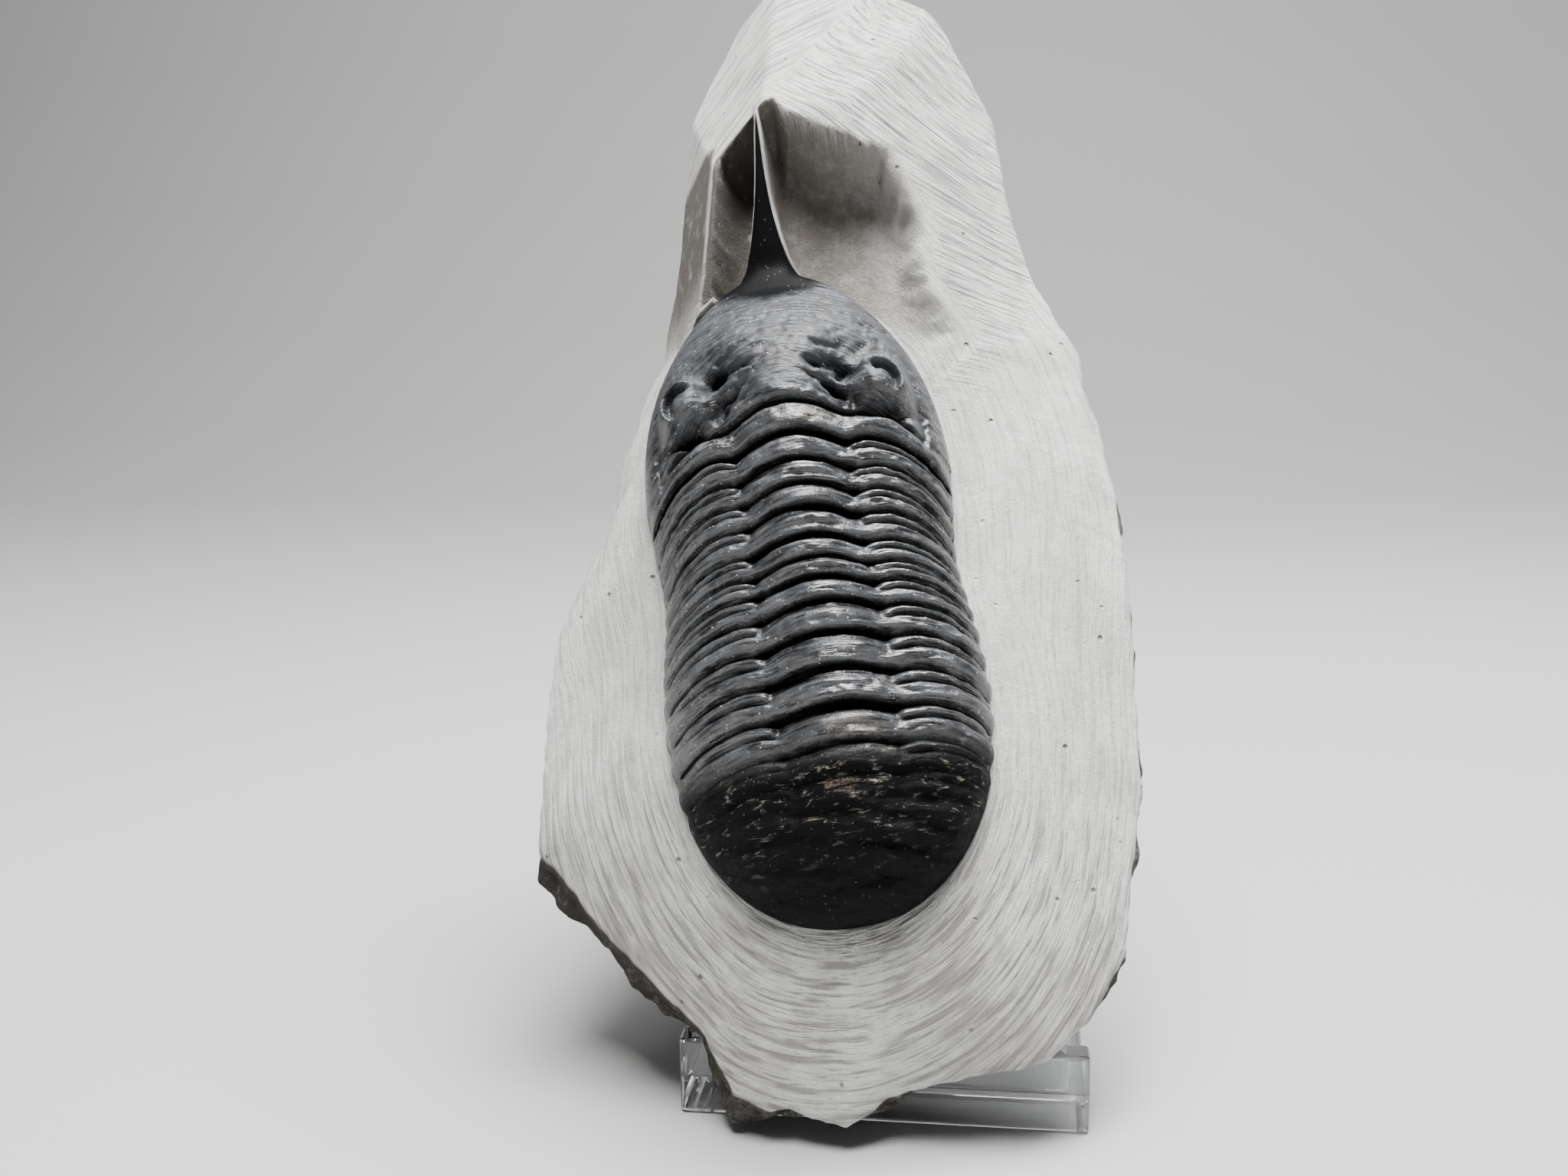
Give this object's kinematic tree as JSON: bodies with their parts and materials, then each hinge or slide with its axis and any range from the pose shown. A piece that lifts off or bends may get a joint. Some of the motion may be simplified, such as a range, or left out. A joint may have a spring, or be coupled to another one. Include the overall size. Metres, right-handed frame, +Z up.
{
  "type": "fossil trilobite on stone matrix",
  "caption": "Black long-nosed trilobite fossil standing proud of a prepared pale limestone matrix, leaning on a small clear acrylic display stand.",
  "frame": {"origin": "on the surface the stand rests on, under the middle of the whole object's box", "axes": "+Z up, the trilobite and the stand's lip face -Y, +X to the viewer's right"},
  "size_m": [0.0536, 0.0632, 0.1024],
  "materials": {
    "limestone": "matte, fine tool marks",
    "shell": "satin",
    "clear_acrylic": "polished clear"
  },
  "bodies": {
    "root": {"matrix": "limestone", "trilobite": "shell", "stand": "clear_acrylic"}
  },
  "joints": []
}
